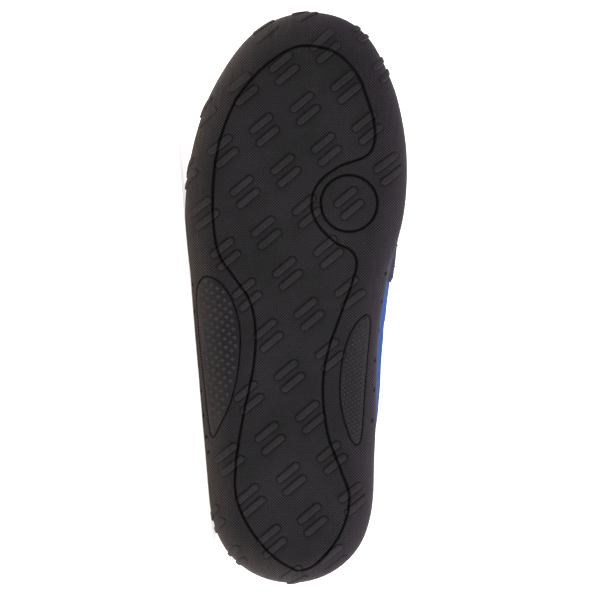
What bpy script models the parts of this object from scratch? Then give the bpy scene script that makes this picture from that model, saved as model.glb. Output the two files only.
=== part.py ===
"""A right water shoe, lying on its outer side: moulded rubber cup sole, insole, hollow stretch upper,
forefoot overlay and collar binding.

The pieces are modelled standing: heel at x = 0, toe towards +X, big-toe side towards +Y, rubber underside
at z = 0. An empty then lays the shoe down, toe towards -X and sole towards -Y.
"""

from collections import namedtuple
from math import acos, asin, atan2, cos, pi, radians, sin, sqrt

import bmesh
import bpy
import numpy as np
from mathutils import Matrix, Vector

# Driving sizes of the rubber sole
SOLE_LENGTH = 0.250
BALL_WIDTH = 0.097
SOLE_THICKNESS = 0.0052
EDGE_ROUND = 0.0125
EDGE_HEIGHT = 0.0098
HEEL_RIM = 0.0270
RUBBER_WALL = 0.0021
TOE_SPRING = 0.0095
ARCH_RISE = 0.0014

# Driving sizes of the upper, insole, overlay and binding
UPPER_WALL = 0.0024
INSTEP_HEIGHT = 0.0700
HEEL_HEIGHT = 0.0640
COLLAR_WIDTH = 0.0540
UPPER_SWELL = 0.0040
INSOLE_THICKNESS = 0.0030
OVERLAY_THICKNESS = 0.0009
BINDING_WIDTH = 0.0038
BINDING_HEIGHT = 0.0056
FIT_GAP = 0.0004
SEAT_GAP = 0.0006
INSOLE_GAP = 0.0020
LIP_CLEAR = 0.0012
SHOULDER_RISE = 0.0110
SHOULDER_SHARE = 0.25

# Tread: lugs of two bars on a turned square grid, and moulded grooves. The grid and the ring keep their
# place between the grooves when the sole's length changes.
LUG_HEIGHT = 0.0008
LUG_ROOT = 0.0012
LUG_PITCH_SHARE = 0.080
LUG_PITCH = SOLE_LENGTH * LUG_PITCH_SHARE
LUG_GRID_TURN = radians(27.6)
LUG_LENGTH = 0.0118
LUG_BAR = 0.0028
LUG_SPACING = 0.0062
LUG_SLANT = 0.0026
LUG_INSET_SHARE = 0.6
LUG_WRAP_SHARE = 0.6
GROOVE_WIDTH = 0.0012
GROOVE_DEPTH = 0.0011
RING_RADIUS_SHARE = 0.0492
RING_RADIUS = SOLE_LENGTH * RING_RADIUS_SHARE
PANEL_CLEAR = 0.0050

# How finely the forms are divided
HEEL_STATIONS = 18
TOE_STATIONS = 18
EDGE_STEPS = 4
LUG_STEPS = 3
CROWN_STEPS = 5
RING_POINTS = 18
OUTLINE_SAMPLES = 720
TURN_STEP = 1e-3
FLAT_ANGLE = radians(0.3)

Section = namedtuple("Section", "along half swing round_in round_up rim lean swell_in swell_out")
# along: share of SOLE_LENGTH. half, swing: fullness and centre-line shift, shares of BALL_WIDTH.
# round_in, round_up: the rounded edge, shares of EDGE_ROUND and EDGE_HEIGHT. rim: share of HEEL_RIM.
# lean: inward slope of the wall. swell_in, swell_out: the upper's bulge on each side, shares of UPPER_SWELL.
SECTIONS = [
    Section(0.00, 0.690, 0.000, 0.95, 1.15, 1.00, 0.06, 0.10, 0.10),
    Section(0.05, 0.638, 0.000, 0.95, 1.10, 0.98, 0.06, 0.30, 0.40),
    Section(0.12, 0.548, 0.001, 0.95, 1.05, 0.90, 0.05, 0.50, 0.64),
    Section(0.20, 0.468, -0.004, 1.00, 1.05, 0.74, 0.03, 0.70, 0.68),
    Section(0.31, 0.424, -0.010, 1.10, 1.10, 0.62, 0.01, 1.10, 0.50),
    Section(0.43, 0.416, -0.019, 1.15, 1.10, 0.58, 0.00, 1.30, 0.40),
    Section(0.54, 0.442, -0.011, 1.05, 1.00, 0.56, 0.01, 1.05, 0.15),
    Section(0.64, 0.505, 0.007, 1.00, 0.95, 0.56, 0.05, 0.20, 0.00),
    Section(0.74, 0.549, 0.026, 1.00, 0.95, 0.60, 0.10, 0.05, 0.00),
    Section(0.84, 0.585, 0.045, 1.10, 1.00, 0.72, 0.18, 0.05, 0.05),
    Section(0.93, 0.625, 0.066, 1.20, 1.05, 0.86, 0.28, 0.05, 0.05),
    Section(1.00, 0.710, 0.086, 1.30, 1.10, 0.94, 0.34, 0.05, 0.05),
]

Ridge = namedtuple("Ridge", "along height swing")
# The line along the top of the foot, from the throat to the toe: height as a share of INSTEP_HEIGHT, and
# swing towards the big toe as a share of BALL_WIDTH.
RIDGE = [
    Ridge(0.48, 1.000, 0.020),
    Ridge(0.56, 0.945, 0.030),
    Ridge(0.65, 0.860, 0.042),
    Ridge(0.74, 0.785, 0.052),
    Ridge(0.83, 0.715, 0.062),
    Ridge(0.90, 0.660, 0.070),
    Ridge(0.95, 0.610, 0.075),
]
THROAT_SHARE = 0.500
RIDGE_END_SHARE = 0.930

Collar = namedtuple("Collar", "along inner outer crown")
# The top edge, from the heel to the throat: height on each side as a share of HEEL_HEIGHT, and how much
# of a quarter turn the skin has made when it gets there.
COLLAR = [
    Collar(0.00, 1.000, 1.000, 0.42),
    Collar(0.06, 0.993, 0.992, 0.42),
    Collar(0.18, 0.930, 0.920, 0.44),
    Collar(0.36, 0.840, 0.800, 0.50),
    Collar(0.60, 0.880, 0.840, 0.62),
    Collar(0.84, 1.010, 0.980, 0.85),
    Collar(1.00, 1.086, 1.086, 1.00),
]
COLLAR_BACK_SHARE = 0.026
OVERLAY_BACK_SHARE = 0.528

# Where the underside leaves the ground, as shares of SOLE_LENGTH
ARCH_START_SHARE = 0.27
ARCH_END_SHARE = 0.60
ARCH_RAMP_SHARE = 0.10
SPRING_START_SHARE = 0.745

# Grooves, as shares of SOLE_LENGTH from the heel and of BALL_WIDTH towards the big toe
MAIN_GROOVE = [
    (0.938, 0.087), (0.926, 0.205), (0.890, 0.296), (0.848, 0.342), (0.806, 0.374), (0.768, 0.376),
    (0.744, 0.334), (0.727, 0.218), (0.698, 0.125), (0.662, 0.094), (0.627, 0.122), (0.595, 0.203),
    (0.581, 0.272), (0.557, 0.297), (0.512, 0.265), (0.455, 0.211), (0.402, 0.166), (0.340, 0.145),
    (0.264, 0.166), (0.200, 0.225), (0.155, 0.264), (0.106, 0.243), (0.062, 0.180), (0.028, 0.085),
    (0.029, 0.000), (0.062, -0.111), (0.109, -0.200), (0.160, -0.246), (0.220, -0.242), (0.296, -0.210),
    (0.375, -0.168), (0.440, -0.157), (0.493, -0.183), (0.535, -0.254), (0.574, -0.320), (0.630, -0.346),
    (0.700, -0.346), (0.770, -0.318), (0.836, -0.254), (0.893, -0.144), (0.931, -0.010),
]
OUTER_PANEL = [
    (0.536, -0.375), (0.528, -0.408), (0.501, -0.425), (0.437, -0.416), (0.348, -0.391), (0.275, -0.368),
    (0.256, -0.352), (0.267, -0.330), (0.318, -0.268), (0.382, -0.233), (0.443, -0.228), (0.492, -0.259),
    (0.525, -0.316),
]
INNER_PANEL = [
    (0.469, 0.337), (0.458, 0.357), (0.423, 0.352), (0.343, 0.335), (0.262, 0.320), (0.243, 0.300),
    (0.257, 0.266), (0.308, 0.228), (0.356, 0.222), (0.405, 0.240), (0.448, 0.284),
]
RING_CENTRE = (0.663, 0.263)

# The lugs: one spot of their grid, in the same shares, and the stretch of waist whose edge has none
LUG_START = (0.649, 0.075)
WAIST = (0.22, 0.58)

Finish = namedtuple("Finish", "colour roughness metallic density")
FINISHES = {
    "black_rubber": Finish((0.030, 0.028, 0.029), 0.55, 0.0, 1150),
    "blue_neoprene": Finish((0.030, 0.150, 0.620), 0.85, 0.0, 350),
    "navy_mesh": Finish((0.020, 0.022, 0.110), 0.80, 0.0, 500),
    "navy_binding": Finish((0.012, 0.014, 0.060), 0.75, 0.0, 600),
    "grey_foam": Finish((0.090, 0.092, 0.100), 0.90, 0.0, 200),
}


def smooth(rows, column, at):
    """The column's value at a share of the way, on a smooth curve through the rows."""
    places = [row.along for row in rows]
    values = [getattr(row, column) for row in rows]
    slopes = np.gradient(values, places)
    at = min(max(at, places[0]), places[-1])
    k = min(max(int(np.searchsorted(places, at)) - 1, 0), len(rows) - 2)
    step = places[k + 1] - places[k]
    t = (at - places[k]) / step
    start = (1 + 2 * t) * (1 - t) ** 2 * values[k] + t * (1 - t) ** 2 * step * slopes[k]
    end = t * t * (3 - 2 * t) * values[k + 1] + t * t * (t - 1) * step * slopes[k + 1]
    return start + end


def ease(t):
    """0 to 1, starting and ending level."""
    t = min(max(t, 0.0), 1.0)
    return t * t * (3 - 2 * t)


# The sole's outline. A turn of 0 is the heel, pi the toe, and the big-toe side lies between them.
def along_at(turn):
    return (1 - cos(turn)) / 2


def turn_at(along):
    return acos(1 - 2 * along)


def outline(turn):
    along = along_at(turn)
    across = smooth(SECTIONS, "swing", along) + smooth(SECTIONS, "half", along) * sin(turn)
    return Vector((SOLE_LENGTH * along, BALL_WIDTH * across))


def inward(turn):
    run = outline(turn + TURN_STEP) - outline(turn - TURN_STEP)
    return Vector((run.y, -run.x)).normalized()


def base_height(x):
    """Height of the rubber's underside over the ground: flat heel and ball, slight arch, toe spring."""
    share = x / SOLE_LENGTH
    rise = ease((share - ARCH_START_SHARE) / ARCH_RAMP_SHARE)
    fall = ease((ARCH_END_SHARE - share) / ARCH_RAMP_SHARE)
    spring = TOE_SPRING * (max(share - SPRING_START_SHARE, 0.0) / (1 - SPRING_START_SHARE)) ** 2
    return ARCH_RISE * rise * fall + spring


Edge = namedtuple("Edge", "round_in round_up rim lean")


def edge_at(along):
    """The rounded edge and the wall at a share of the length, in metres."""
    return Edge(
        EDGE_ROUND * smooth(SECTIONS, "round_in", along),
        EDGE_HEIGHT * smooth(SECTIONS, "round_up", along),
        HEEL_RIM * smooth(SECTIONS, "rim", along),
        smooth(SECTIONS, "lean", along),
    )


def wall_inset(edge, up):
    """How far inside the outline the rubber's skin is, at a height above its underside."""
    if up < edge.round_up:
        return edge.round_in * (1 - sqrt(1 - (1 - up / edge.round_up) ** 2))
    return edge.lean * (up - edge.round_up)


def skin_at(turn, up, inset):
    """A point at a height above the underside, at a distance inside the outline."""
    spot = outline(turn) + inward(turn) * inset
    return Vector((spot.x, spot.y, base_height(spot.x) + up))


# The underside is laid out flat: outside the rounded edge's inner line, distance runs round the curve.
SAMPLES = [2 * pi * k / OUTLINE_SAMPLES for k in range(OUTLINE_SAMPLES)]
OUTLINE_POINTS = np.array([outline(turn) for turn in SAMPLES])
OUTLINE_INWARD = np.array([inward(turn) for turn in SAMPLES])


def nearest_edge(x, y):
    """(point on the outline, inward direction, distance inside it, edge) next to a spot of the plan."""
    spot = np.array((x, y))
    k = int(np.argmin(((OUTLINE_POINTS - spot) ** 2).sum(1)))
    normal = OUTLINE_INWARD[k]
    inside = float((spot - OUTLINE_POINTS[k]) @ normal)
    foot = spot - inside * normal
    return foot, normal, inside, edge_at(along_at(SAMPLES[k]))


def curve_length(edge):
    return pi / 2 * sqrt((edge.round_in**2 + edge.round_up**2) / 2)


def unrolled(x, y):
    """The laid-out spot of a spot seen square from below."""
    foot, normal, inside, edge = nearest_edge(x, y)
    if inside >= edge.round_in:
        return Vector((x, y))
    angle = asin(1 - max(inside, 0.0) / edge.round_in)
    return Vector(foot + normal * (edge.round_in - curve_length(edge) * angle * 2 / pi))


def tread_point(x, y, lift):
    """The point of the rubber's outer skin at a laid-out spot, lifted outwards."""
    foot, normal, inside, edge = nearest_edge(x, y)
    angle = (edge.round_in - inside) / curve_length(edge) * pi / 2
    if angle <= 0:
        return Vector((x, y, base_height(x) - lift))
    if angle < pi / 2:
        inset = edge.round_in * (1 - sin(angle))
        up = edge.round_up * (1 - cos(angle))
        out, down = edge.round_up * sin(angle), edge.round_in * cos(angle)
    else:
        extra = edge.round_in - curve_length(edge) - inside
        inset = edge.lean * extra
        up = edge.round_up + extra
        out, down = 1.0, -edge.lean
    size = sqrt(out * out + down * down)
    spot = foot + normal * (inset - lift * out / size)
    return Vector((spot[0], spot[1], base_height(spot[0]) + up - lift * down / size))


# Stations round the outline, heel to toe on the inner side and back on the outer side. One lies at the
# throat and one at the overlay's rear edge, so that both are exact.
def stations():
    throat, back = turn_at(THROAT_SHARE), turn_at(OVERLAY_BACK_SHARE)
    inner = [*np.linspace(0, throat, HEEL_STATIONS)[:-1], throat, *np.linspace(back, pi, TOE_STATIONS)]
    return inner + [2 * pi - turn for turn in inner[-2:0:-1]]


STATIONS = stations()
EDGES = [edge_at(along_at(turn)) for turn in STATIONS]
COUNT = len(STATIONS)
THROAT_STATION = HEEL_STATIONS - 1
OVERLAY_STATION = HEEL_STATIONS


def ring(height, inset):
    """One point at each station, from a height and an inset worked out from its edge."""
    return [skin_at(turn, height(edge), inset(edge)) for turn, edge in zip(STATIONS, EDGES)]


def material(name):
    finish = FINISHES[name]
    made = bpy.data.materials.new(name)
    made.use_nodes = True
    shader = made.node_tree.nodes["Principled BSDF"]
    shader.inputs["Base Color"].default_value = (*finish.colour, 1)
    shader.inputs["Roughness"].default_value = finish.roughness
    shader.inputs["Metallic"].default_value = finish.metallic
    made.diffuse_color = (*finish.colour, 1)
    return made


def add_object(name, mesh, collection, finish=None):
    made = bpy.data.objects.new(name, mesh)
    collection.objects.link(made)
    if finish:
        mesh.materials.append(material(finish))
        mesh.shade_smooth()
        mesh.set_sharp_from_angle(angle=radians(35))
    return made


def mesh_from(name, bm):
    bmesh.ops.recalc_face_normals(bm, faces=bm.faces)
    bmesh.ops.triangulate(bm, faces=bm.faces)
    mesh = bpy.data.meshes.new(name)
    bm.to_mesh(mesh)
    bm.free()
    return mesh


def bridge(bm, lower, upper, closed=True):
    """Faces between two rows of vertices."""
    for k in range(len(lower) - (0 if closed else 1)):
        n = (k + 1) % len(lower)
        corners = [lower[k], lower[n], upper[n], upper[k]]
        corners = [v for i, v in enumerate(corners) if v not in corners[:i]]
        bm.faces.new(corners)


def ladder(bm, row):
    """Closes a ring of the outline with rungs straight across, from its inner to its outer side."""
    half = len(row) // 2
    inner, outer = row[: half + 1], [row[0], *row[:half - 1:-1]]
    for k in range(half):
        corners = [inner[k], inner[k + 1], outer[k + 1], outer[k]]
        corners = [v for i, v in enumerate(corners) if v not in corners[:i]]
        bm.faces.new(corners)


def loft(name, rings, capped):
    """A solid or a tube through closed rings of points."""
    bm = bmesh.new()
    rows = [[bm.verts.new(point) for point in points] for points in rings]
    for lower, upper in zip(rows, rows[1:]):
        bridge(bm, lower, upper)
    if capped:
        ladder(bm, rows[0])
        ladder(bm, rows[-1])
    else:
        bridge(bm, rows[-1], rows[0])
    return mesh_from(name, bm)


# Heights shared by the cup's inside and what stands in it, so that their facets run side by side
INSIDE_LEVELS = [
    lambda e: SOLE_THICKNESS,
    lambda e: e.round_up,
    lambda e: e.rim,
]


# Outsole: cup with a rounded edge, wall and lip, then its inside down to the floor
def cup_mesh():
    rings = []
    for k in range(EDGE_STEPS + 1):
        angle = pi / 2 * k / EDGE_STEPS
        rings.append(
            ring(
                lambda e, a=angle: e.round_up * (1 - cos(a)),
                lambda e, a=angle: e.round_in * (1 - sin(a)),
            )
        )
    rings.append(ring(lambda e: e.rim, lambda e: wall_inset(e, e.rim)))
    for height in INSIDE_LEVELS[::-1]:
        rings.append(ring(height, lambda e, h=height: wall_inset(e, h(e)) + RUBBER_WALL))
    return loft("outsole", rings, capped=True)


def plan_spot(shares):
    along, across = shares
    return Vector((SOLE_LENGTH * along, BALL_WIDTH * across))


def closed_curve(shares):
    """Laid-out spots on a smooth closed curve: each point given, and one half way to the next."""
    spots = [unrolled(*plan_spot(pair)) for pair in shares]
    curve = []
    for k, spot in enumerate(spots):
        before, after, beyond = (spots[(k + step) % len(spots)] for step in (-1, 1, 2))
        curve += [spot, (9 * (spot + after) - before - beyond) / 16]
    return curve


def ring_curve():
    turns = [2 * pi * k / RING_POINTS for k in range(RING_POINTS)]
    return [plan_spot(RING_CENTRE) + RING_RADIUS * Vector((cos(turn), sin(turn))) for turn in turns]


def grooves_mesh():
    """Cutters of square section that follow the closed curves of the tread."""
    bm = bmesh.new()
    top = LUG_HEIGHT + GROOVE_DEPTH
    corners = [(1, top), (-1, top), (-1, -GROOVE_DEPTH), (1, -GROOVE_DEPTH)]
    curves = [closed_curve(shares) for shares in (MAIN_GROOVE, OUTER_PANEL, INNER_PANEL)]
    for path in [*curves, ring_curve()]:
        rows = [[], [], [], []]
        for k, spot in enumerate(path):
            run = (path[(k + 1) % len(path)] - path[k - 1]).normalized()
            side = Vector((run.y, -run.x)) * GROOVE_WIDTH / 2
            for row, (way, lift) in zip(rows, corners):
                row.append(bm.verts.new(tread_point(*(spot + side * way), lift)))
        for k in range(4):
            bridge(bm, rows[k], rows[(k + 1) % 4])
    return mesh_from("grooves", bm)


def on_curve(x, y):
    """Whether a laid-out spot is on the rounded edge."""
    _, _, inside, edge = nearest_edge(x, y)
    return inside < edge.round_in


def inside_curve(spot, curve):
    """Whether a laid-out spot is inside a closed curve."""
    crossings = 0
    for a, b in zip(curve, [*curve[1:], curve[0]]):
        if (a.y > spot.y) != (b.y > spot.y):
            crossings += spot.x < a.x + (b.x - a.x) * (spot.y - a.y) / (b.y - a.y)
    return crossings % 2 == 1


def lug_spots():
    """Centres of the lugs: a square grid turned on the sole, kept off the panels and the waist's wall."""
    panels = [closed_curve(OUTER_PANEL), closed_curve(INNER_PANEL)]
    ring_centre = plan_spot(RING_CENTRE)
    row = Vector((sin(LUG_GRID_TURN), cos(LUG_GRID_TURN))) * LUG_PITCH
    column = Vector((cos(LUG_GRID_TURN), -sin(LUG_GRID_TURN))) * LUG_PITCH
    reach = int(SOLE_LENGTH / LUG_PITCH)
    spots = [ring_centre]
    for i in range(-reach, reach + 1):
        for j in range(-reach, reach + 1):
            spot = plan_spot(LUG_START) + row * j + column * i
            _, _, inside, edge = nearest_edge(*spot)
            waist = WAIST[0] < spot.x / SOLE_LENGTH < WAIST[1]
            wrapped = 0 if waist else curve_length(edge) * LUG_WRAP_SHARE
            near_panel = any(
                inside_curve(spot, panel) or min((spot - p).length for p in panel) < PANEL_CLEAR
                for panel in panels
            )
            near_ring = (spot - ring_centre).length < RING_RADIUS + LUG_BAR
            if inside > edge.round_in * LUG_INSET_SHARE - wrapped and not near_panel and not near_ring:
                spots.append(spot)
    return spots


def lugs_mesh():
    """Two slanted bars for each lug, rooted in the rubber and following its curve."""
    bm = bmesh.new()
    way = Vector((sin(LUG_GRID_TURN), cos(LUG_GRID_TURN))) * LUG_LENGTH / 2
    across = Vector((cos(LUG_GRID_TURN), -sin(LUG_GRID_TURN)))
    for spot in lug_spots():
        for middle in (-LUG_SPACING / 2, LUG_SPACING / 2):
            ends = [spot + way * end + across * (middle + end * LUG_SLANT / 2) for end in (-1, 1)]
            curved = any(on_curve(*end) for end in ends)
            steps = LUG_STEPS if curved else 1
            path = [ends[0].lerp(ends[1], k / steps) for k in range(steps + 1)]
            section = [(LUG_BAR / 2, LUG_HEIGHT), (LUG_BAR / 2, -LUG_ROOT)]
            section += [(-LUG_BAR / 2, -LUG_ROOT), (-LUG_BAR / 2, LUG_HEIGHT)]
            rows = [
                [bm.verts.new(tread_point(*(point + across * side), lift)) for side, lift in section]
                for point in path
            ]
            for lower, upper in zip(rows, rows[1:]):
                bridge(bm, lower, upper)
            bm.faces.new(rows[0])
            bm.faces.new(rows[-1])
    return mesh_from("lugs", bm)


def build_outsole(parts, cutters):
    """The cup, with its lugs raised on it first and its grooves then cut through cup and lugs."""
    outsole = add_object("outsole", cup_mesh(), parts, "black_rubber")
    tools = [("lugs", lugs_mesh(), "UNION"), ("grooves", grooves_mesh(), "DIFFERENCE")]
    for name, mesh, operation in tools:
        tool = add_object(name, mesh, cutters)
        tool.hide_render = True
        tool.display_type = "WIRE"
        modifier = outsole.modifiers.new(name, "BOOLEAN")
        modifier.operation = operation
        modifier.object = tool
        modifier.solver = "EXACT"
    merged = outsole.modifiers.new("flats", "DECIMATE")
    merged.decimate_type = "DISSOLVE"
    merged.angle_limit = FLAT_ANGLE


# The upper's skin: each station has a curve from the cup's floor, out over the rim, and in to the collar
# or to the ridge on top of the foot.
def ridge_point(along):
    """On the ridge, at a share of the length."""
    across = BALL_WIDTH * smooth(RIDGE, "swing", along)
    return Vector((SOLE_LENGTH * along, across, INSTEP_HEIGHT * smooth(RIDGE, "height", along)))


def top_point(turn):
    """(where the curve of a station ends, how much of a quarter turn its crown makes)."""
    from_heel = min(turn, 2 * pi - turn)
    throat = turn_at(THROAT_SHARE)
    if from_heel >= throat - TURN_STEP:
        share = sin((from_heel - throat) / (pi - throat) * pi / 2)
        return ridge_point(THROAT_SHARE + (RIDGE_END_SHARE - THROAT_SHARE) * share), 1.0
    share = from_heel / throat
    front = ridge_point(THROAT_SHARE)
    side, column = (1, "inner") if turn < pi else (-1, "outer")
    back = SOLE_LENGTH * COLLAR_BACK_SHARE
    return Vector(
        (
            back + (front.x - back) * (1 - cos(pi * share)) / 2,
            front.y * ease(share) + side * COLLAR_WIDTH / 2 * sin(pi * share),
            HEEL_HEIGHT * smooth(COLLAR, column, share) * (1 - ease(share)) + front.z * ease(share),
        )
    ), smooth(COLLAR, "crown", share)


def skin_curve(turn, edge):
    """Points of the upper's outer skin at a station, from the cup's floor to the top."""
    fit = RUBBER_WALL + FIT_GAP
    points = [skin_at(turn, level(edge), wall_inset(edge, level(edge)) + fit) for level in INSIDE_LEVELS]
    points[0].z += SEAT_GAP
    points.append(skin_at(turn, edge.rim + LIP_CLEAR, wall_inset(edge, edge.rim + LIP_CLEAR) + fit))
    top, share = top_point(turn)
    swell = UPPER_SWELL * smooth(SECTIONS, "swell_in" if turn <= pi else "swell_out", along_at(turn))
    side = wall_inset(edge, edge.rim) + fit - swell
    start, direction = outline(turn), inward(turn)
    shoulder = points[-1].z + min((top.z - points[-1].z) * SHOULDER_SHARE, SHOULDER_RISE)
    for k in range(CROWN_STEPS + 1):
        angle = pi / 2 * share * k / CROWN_STEPS
        reach = (1 - cos(angle)) / (1 - cos(pi / 2 * share))
        rise = sin(angle) / sin(pi / 2 * share)
        spot = start + direction * side * (1 - reach) + (top.xy - start) * reach
        points.append(Vector((spot.x, spot.y, shoulder + (top.z - shoulder) * rise)))
    return points


def skin():
    """(mesh under way, its vertices by station and row); the two sides share the ridge's vertices."""
    bm = bmesh.new()
    columns = []
    for k, (turn, edge) in enumerate(zip(STATIONS, EDGES)):
        points = skin_curve(turn, edge)
        shared = COUNT // 2 < k <= COUNT - THROAT_STATION
        column = [bm.verts.new(point) for point in (points[:-1] if shared else points)]
        columns.append(column + [columns[COUNT - k][-1]] if shared else column)
    for k in range(COUNT):
        bridge(bm, columns[k - 1], columns[k], closed=False)
    bmesh.ops.recalc_face_normals(bm, faces=bm.faces)
    bm.normal_update()
    outwards = columns[COUNT // 2][0].normal.x > 0
    if not outwards:
        bmesh.ops.reverse_faces(bm, faces=bm.faces)
        bm.normal_update()
    return bm, columns


def shell_object(name, bm, parts, finish, thickness):
    """An object whose wall is built inwards from a skin."""
    mesh = bpy.data.meshes.new(name)
    bm.to_mesh(mesh)
    bm.free()
    made = add_object(name, mesh, parts, finish)
    wall = made.modifiers.new("wall", "SOLIDIFY")
    wall.thickness = thickness
    wall.offset = -1
    return made


def build_upper(parts):
    bm, _ = skin()
    shell_object("upper", bm, parts, "blue_neoprene", UPPER_WALL)


def build_overlay(parts):
    """The part of the skin over the forefoot and above the rubber, lifted off it."""
    bm, columns = skin()
    kept = set()
    for column in columns[OVERLAY_STATION : COUNT - OVERLAY_STATION + 1]:
        kept.update(column[len(INSIDE_LEVELS) :])
    for vert in bm.verts:
        vert.co += vert.normal * (SEAT_GAP + OVERLAY_THICKNESS)
    bmesh.ops.delete(bm, geom=[vert for vert in bm.verts if vert not in kept], context="VERTS")
    shell_object("vamp_panel", bm, parts, "navy_mesh", OVERLAY_THICKNESS)


def build_binding(parts):
    """A bead round the collar, standing just off the edge of the upper's wall."""
    bm, columns = skin()
    loop = columns[: THROAT_STATION + 1] + columns[COUNT - THROAT_STATION + 1 :]
    tops = [(column[-1].co.copy(), column[-1].normal.copy()) for column in loop]
    bm.free()
    half, brow = BINDING_WIDTH / 2, BINDING_HEIGHT * 0.6
    section = [(half, 0), (half, brow), (half / 2, BINDING_HEIGHT)]
    section += [(-out, up) for out, up in reversed(section)]
    rings = [[] for _ in section]
    for k, (top, normal) in enumerate(tops):
        run = (tops[(k + 1) % len(tops)][0] - tops[k - 1][0]).normalized()
        away = run.cross(normal).normalized()
        middle = top - normal * UPPER_WALL / 2 + away * SEAT_GAP
        for row, (out, up) in zip(rings, section):
            row.append(middle + normal * out + away * up)
    add_object("collar_binding", loft("collar_binding", rings, capped=False), parts, "navy_binding")


def build_insole(parts):
    fit = RUBBER_WALL + FIT_GAP + UPPER_WALL + INSOLE_GAP
    rings = []
    for up in (SOLE_THICKNESS + SEAT_GAP, SOLE_THICKNESS + SEAT_GAP + INSOLE_THICKNESS):
        rings.append(ring(lambda e, h=up: h, lambda e, h=up: wall_inset(e, h) + fit))
    add_object("insole", loft("insole", rings, capped=True), parts, "grey_foam")


# The pose: on the outer side, on a facet of the convex hull of all the pieces
def finished_mesh(piece):
    """The mesh of a piece with its modifiers, triangulated."""
    bm = bmesh.new()
    bm.from_object(piece, bpy.context.evaluated_depsgraph_get())
    bmesh.ops.triangulate(bm, faces=bm.faces)
    return bm


def hull_and_balance(pieces):
    """(mesh of the convex hull, centre of mass) of the pieces as they stand."""
    hull = bmesh.new()
    moment, mass = Vector(), 0.0
    for piece in pieces:
        bm = finished_mesh(piece)
        density = FINISHES[piece.active_material.name].density
        for face in bm.faces:
            a, b, c = (vert.co for vert in face.verts)
            weight = density * a.dot(b.cross(c)) / 6
            moment += weight * (a + b + c) / 4
            mass += weight
        for vert in bm.verts:
            hull.verts.new(vert.co)
        bm.free()
    bmesh.ops.convex_hull(hull, input=hull.verts)
    hull.normal_update()
    return hull, moment / mass


def outside_by(face, point):
    """How far a point, seen along a facet's normal, falls outside the facet; negative when inside."""
    middle = face.calc_center_median()
    falls = []
    for loop in face.loops:
        corner = loop.vert.co
        side = face.normal.cross(loop.link_loop_next.vert.co - corner).normalized()
        side = side if side.dot(middle - corner) > 0 else -side
        falls.append(side.dot(corner - point))
    return max(falls)


def lay_down(pieces):
    """The matrix that lays the standing shoe on its outer side, bounding box centred over the origin."""
    hull, balance = hull_and_balance(pieces)
    steady = [face for face in hull.faces if outside_by(face, balance) < 0]
    resting = min(steady, key=lambda face: face.normal.y)
    turn = resting.normal.rotation_difference(Vector((0, 0, -1))).to_matrix()
    toe = turn @ Vector((1, 0, 0))
    turn = Matrix.Rotation(pi - atan2(toe.y, toe.x), 3, "Z") @ turn
    spots = np.array([turn @ vert.co for vert in hull.verts])
    hull.free()
    low, high = spots.min(0), spots.max(0)
    middle = (low + high) / 2
    return Matrix.Translation((-middle[0], -middle[1], -low[2])) @ turn.to_4x4()


def main():
    for old in list(bpy.data.objects):
        bpy.data.objects.remove(old)
    parts = bpy.data.collections.new("water_shoe")
    cutters = bpy.data.collections.new("cutters")
    for collection in (parts, cutters):
        bpy.context.scene.collection.children.link(collection)
    build_outsole(parts, cutters)
    build_insole(parts)
    build_upper(parts)
    build_overlay(parts)
    build_binding(parts)
    holder = bpy.data.objects.new("laid_down", None)
    matrix = lay_down(list(parts.objects))
    for piece in [*parts.objects, *cutters.objects]:
        piece.parent = holder
    parts.objects.link(holder)
    holder.matrix_world = matrix


main()
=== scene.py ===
"""Looks of the water shoe: its finely moulded sole, stretch upper, overlay, binding and insole, the camera
and the light. Pieces are worked out standing, as in the CAD source, and then laid down where the CAD is."""

from math import cos, pi, radians, sin, sqrt

import bmesh
import bpy
import numpy as np
from mathutils import Matrix, Vector, noise
from mathutils.geometry import delaunay_2d_cdt


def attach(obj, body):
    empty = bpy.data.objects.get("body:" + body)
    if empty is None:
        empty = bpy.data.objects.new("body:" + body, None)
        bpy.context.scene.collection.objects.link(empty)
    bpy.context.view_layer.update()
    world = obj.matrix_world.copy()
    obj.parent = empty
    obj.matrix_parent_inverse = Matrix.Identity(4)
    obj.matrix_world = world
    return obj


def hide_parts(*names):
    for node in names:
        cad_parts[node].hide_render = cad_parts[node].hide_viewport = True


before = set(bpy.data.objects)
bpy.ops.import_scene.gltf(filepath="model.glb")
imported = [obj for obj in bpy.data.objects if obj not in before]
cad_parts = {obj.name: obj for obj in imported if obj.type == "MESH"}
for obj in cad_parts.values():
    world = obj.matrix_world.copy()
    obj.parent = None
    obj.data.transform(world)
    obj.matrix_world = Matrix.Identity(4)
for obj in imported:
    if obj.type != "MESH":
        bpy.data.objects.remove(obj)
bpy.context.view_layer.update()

MM = 0.001

# Sizes and tables of the CAD source. The sole's outline and the upper's swell are eased to the photograph,
# by up to 1.5 mm.
SOLE_LENGTH = 0.250
BALL_WIDTH = 0.097
SOLE_THICKNESS = 0.0052
EDGE_ROUND = 0.0125
EDGE_HEIGHT = 0.0098
HEEL_RIM = 0.0270
RUBBER_WALL = 0.0021
TOE_SPRING = 0.0095
ARCH_RISE = 0.0014
UPPER_WALL = 0.0024
INSTEP_HEIGHT = 0.0700
HEEL_HEIGHT = 0.0640
COLLAR_WIDTH = 0.0540
UPPER_SWELL = 0.0040
INSOLE_THICKNESS = 0.0030
OVERLAY_THICKNESS = 0.0009
BINDING_WIDTH = 0.0038
BINDING_HEIGHT = 0.0056
FIT_GAP = 0.0004
SEAT_GAP = 0.0006
INSOLE_GAP = 0.0020
LIP_CLEAR = 0.0012
SHOULDER_RISE = 0.0110
SHOULDER_SHARE = 0.25
LUG_PITCH = 0.0200
LUG_GRID_TURN = radians(27.6)
LUG_LENGTH = 0.0118
LUG_BAR = 0.0028
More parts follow.
